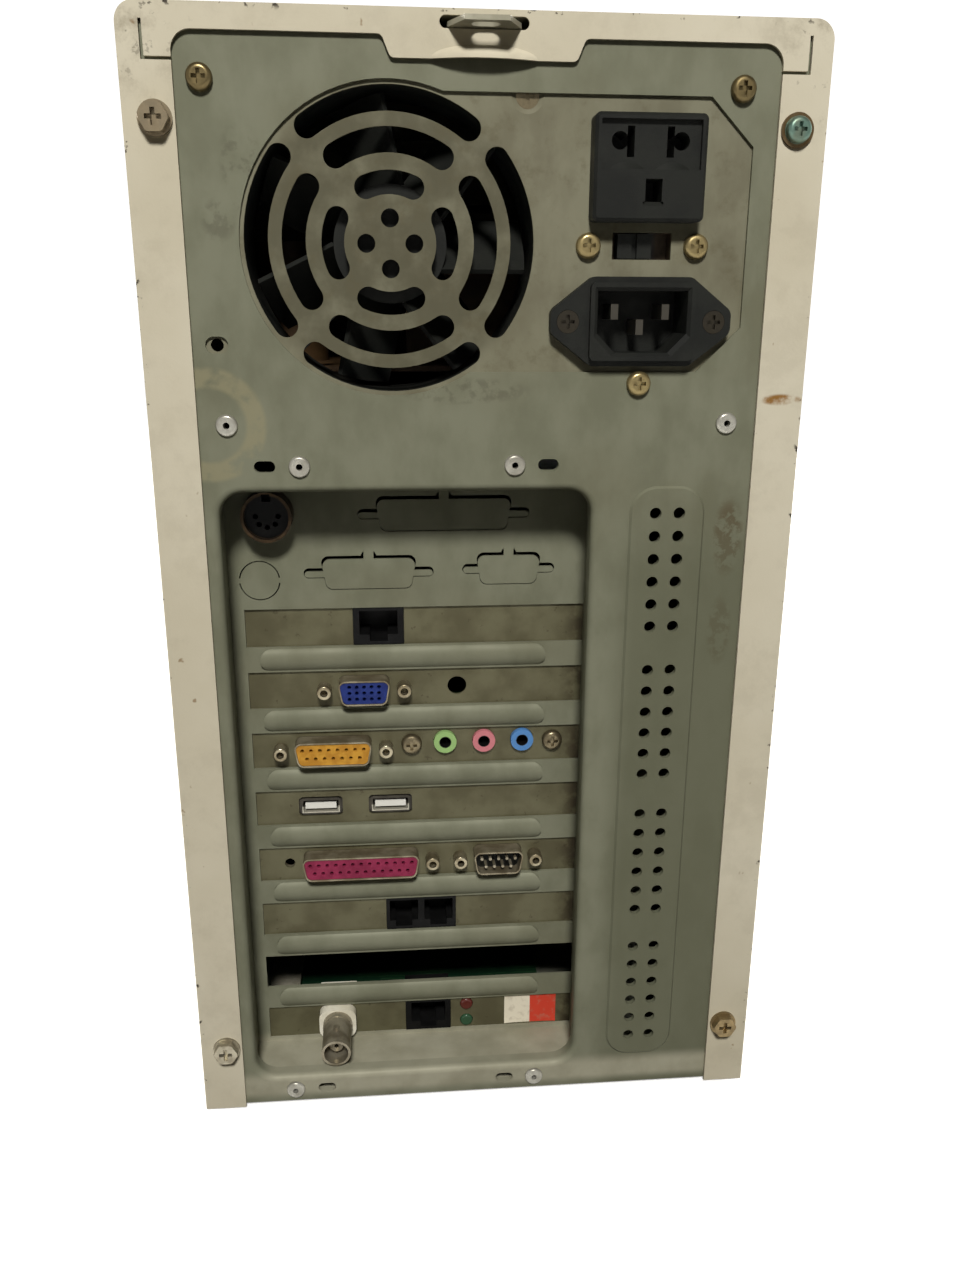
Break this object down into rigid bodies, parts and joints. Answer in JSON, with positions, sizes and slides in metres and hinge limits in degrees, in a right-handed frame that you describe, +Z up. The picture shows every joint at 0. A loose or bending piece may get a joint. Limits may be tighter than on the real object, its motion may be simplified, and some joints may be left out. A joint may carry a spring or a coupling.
{
  "type": "tower computer",
  "caption": "Upright desktop computer with a slide-off painted steel cover, rear power supply and card ports, and a plastic front with drives.",
  "frame": {"origin": "on the table, under the middle of the object's box", "axes": "+X to the right as seen from behind, +Y from the rear panel towards the front, +Z up"},
  "size_m": [0.18, 0.4032, 0.324],
  "materials": {
    "cover_paint": "satin",
    "panel_steel": "dull zinc",
    "supply_steel": "dull zinc",
    "bracket_tin": "dull tin",
    "screw_zinc": "worn zinc",
    "contact_nickel": "nickel plated",
    "black_plastic": "matt",
    "blue_plastic": "matt",
    "orange_plastic": "matt",
    "magenta_plastic": "matt",
    "jack_plastic": "matt, one colour for each jack",
    "white_plastic": "matt",
    "circuit_board": "satin",
    "bare_aluminium": "satin",
    "ceramic": "matt",
    "standoff_brass": "satin",
    "foot_rubber": "matt",
    "beige_plastic": "fine texture",
    "lamp_plastic": "clear tint",
    "cable_grey": "matt"
  },
  "bodies": {
    "chassis": {"rear_panel": "panel_steel", "slot_plate": "panel_steel", "lock_tongue": "panel_steel", "base_pan": "panel_steel", "front_plate": "panel_steel", "board_tray": "panel_steel", "top_rails": "panel_steel", "drive_cage": "panel_steel", "psu_case": "supply_steel", "psu_lid": "supply_steel", "slot_brackets": "bracket_tin", "port_shells": "bracket_tin", "usb_sockets": "bracket_tin", "case_screws": "screw_zinc", "chassis_rivets": "screw_zinc", "jack_posts": "screw_zinc", "coax_socket": "contact_nickel", "port_pins": "contact_nickel", "mains_outlet": "black_plastic", "mains_inlet": "black_plastic", "selector_body": "black_plastic", "keyboard_socket": "black_plastic", "serial_insert": "black_plastic", "fan_frame": "black_plastic", "cpu_fan_frame": "black_plastic", "board_chips": "black_plastic", "phone_jacks": "black_plastic", "network_jacks": "black_plastic", "power_switch": "black_plastic", "video_insert": "blue_plastic", "game_insert": "orange_plastic", "parallel_insert": "magenta_plastic", "audio_jacks": "jack_plastic", "coax_base": "white_plastic", "board_sockets": "white_plastic", "motherboard": "circuit_board", "card_boards": "circuit_board", "psu_board": "circuit_board", "memory_modules": "circuit_board", "heat_sink": "bare_aluminium", "hard_disk": "bare_aluminium", "cd_drive": "bare_aluminium", "processor": "ceramic", "board_standoffs": "standoff_brass", "feet": "foot_rubber", "front_bezel": "beige_plastic", "bay_cover": "beige_plastic", "floppy_drive": "beige_plastic", "status_lights": "lamp_plastic", "drive_ribbon": "cable_grey"},
    "cover": {"cover": "cover_paint", "cover_screws": "screw_zinc"},
    "supply_fan": {"fan_rotor": "black_plastic"},
    "processor_fan": {"cpu_fan_rotor": "black_plastic"},
    "selector": {"selector_slider": "black_plastic"},
    "power_button": {"power_button": "beige_plastic"},
    "reset_button": {"reset_button": "beige_plastic"},
    "disc_tray": {"cd_tray": "beige_plastic"},
    "disc_eject": {"cd_eject_button": "beige_plastic"},
    "floppy_eject": {"floppy_eject_button": "beige_plastic"}
  },
  "joints": [
    {"name": "cover_slide", "type": "slide", "parent": "chassis", "child": "cover", "axis": [0, -1, 0], "range_m": [0, 0.38]},
    {"name": "supply_fan_spin", "type": "hinge", "parent": "chassis", "child": "supply_fan", "pos_m": [-0.02435, -0.17735, 0.26934], "axis": [0, 1, 0], "continuous": true},
    {"name": "processor_fan_spin", "type": "hinge", "parent": "chassis", "child": "processor_fan", "pos_m": [-0.035, 0.02215, 0.0815], "axis": [1, 0, 0], "continuous": true},
    {"name": "selector_slide", "type": "slide", "parent": "chassis", "child": "selector", "axis": [1, 0, 0], "range_m": [0, 0.0035]},
    {"name": "power_press", "type": "slide", "parent": "chassis", "child": "power_button", "axis": [0, -1, 0], "range_m": [0, 0.003], "stiffness_N_per_m": 500},
    {"name": "reset_press", "type": "slide", "parent": "chassis", "child": "reset_button", "axis": [0, -1, 0], "range_m": [0, 0.0015], "stiffness_N_per_m": 500},
    {"name": "disc_tray_slide", "type": "slide", "parent": "chassis", "child": "disc_tray", "axis": [0, 1, 0], "range_m": [0, 0.13]},
    {"name": "disc_eject_press", "type": "slide", "parent": "chassis", "child": "disc_eject", "axis": [0, -1, 0], "range_m": [0, 0.0012], "stiffness_N_per_m": 500},
    {"name": "floppy_eject_press", "type": "slide", "parent": "chassis", "child": "floppy_eject", "axis": [0, -1, 0], "range_m": [0, 0.0035], "stiffness_N_per_m": 400}
  ]
}
